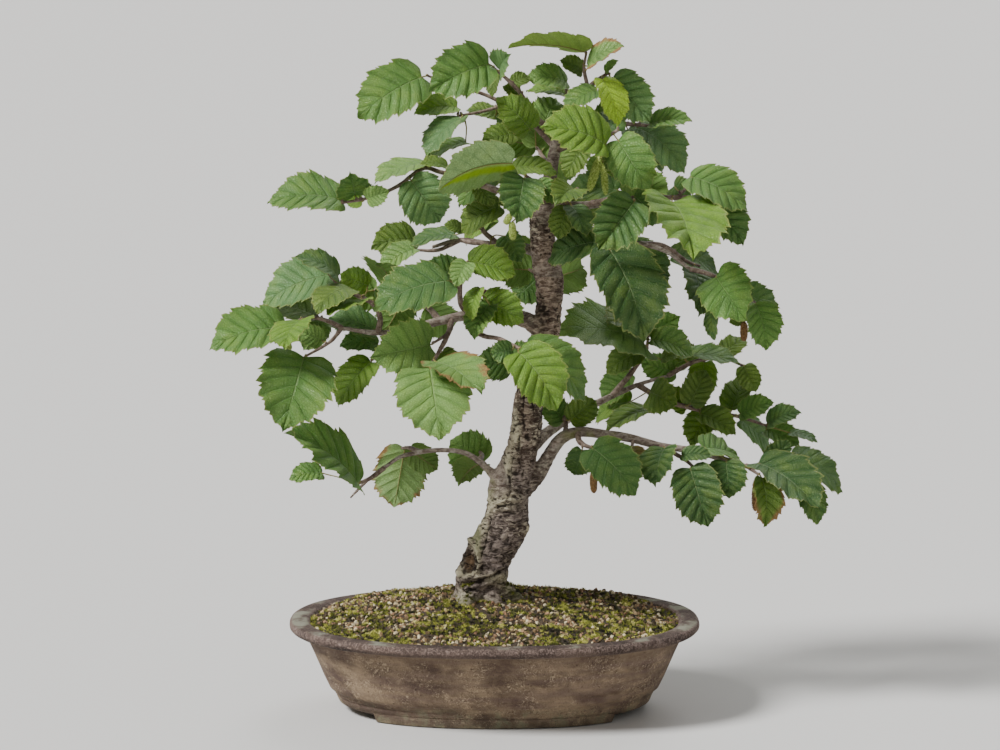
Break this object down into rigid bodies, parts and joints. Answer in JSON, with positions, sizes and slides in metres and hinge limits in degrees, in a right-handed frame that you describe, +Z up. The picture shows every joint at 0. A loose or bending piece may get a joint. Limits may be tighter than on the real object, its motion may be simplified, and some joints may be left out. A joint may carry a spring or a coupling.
{
  "type": "hazel bonsai",
  "caption": "Informal upright hazel bonsai with toothed leaves and hanging catkins in a shallow oval unglazed pot.",
  "frame": {"origin": "middle of the bottom of the bounding box, on the plane of the pot's feet", "axes": "+Z up along the tree's height, +Y from the front of the pot to its back, +X to the viewer's right"},
  "size_m": [0.5024, 0.2866, 0.5411],
  "materials": {
    "pot_clay": "unglazed brown-grey stoneware with worn rim, fine grit and algae near the foot",
    "bark": "grey-brown bark with pale patches, dark cracks and lenticel bands",
    "foliage": "matt green leaf with paler veins, a soft waxy sheen and a few yellow or brown margins",
    "soil": "tan baked-clay grit with tufts of olive moss",
    "drain_mesh": "black plastic mesh"
  },
  "bodies": {
    "root": {"pot": "pot_clay", "drain_mesh_left": "drain_mesh", "drain_mesh_right": "drain_mesh", "soil": "soil", "trunk": "bark", "spray_crown_left": "foliage", "spray_crown_far_left": "foliage", "spray_apex": "foliage", "spray_apex_left": "foliage", "spray_crown_front": "foliage", "spray_crown_right": "foliage", "spray_upper_left": "foliage", "spray_trunk_front": "foliage", "spray_back_left": "foliage", "spray_back_high": "foliage", "spray_right_upper": "foliage", "spray_right_front": "foliage", "spray_right_inner": "foliage", "spray_right_low": "foliage", "spray_right_middle": "foliage", "spray_right_end": "foliage", "spray_middle_front": "foliage", "spray_middle_low": "foliage", "spray_middle_high": "foliage", "spray_left_high": "foliage", "spray_left_end": "foliage", "spray_left_low": "foliage", "spray_left_back": "foliage", "spray_low_left_end": "foliage", "spray_low_left_middle": "foliage", "spray_low_left_inner": "foliage", "spray_low_right_front": "foliage", "spray_low_right_inner": "foliage", "spray_low_right_middle": "foliage", "spray_low_right_end": "foliage", "spray_back_right_high": "foliage", "spray_back_right_low": "foliage", "spray_back_right_far": "foliage", "spray_rear_high": "foliage", "spray_rear_middle": "foliage", "spray_rear_low": "foliage"}
  },
  "joints": []
}
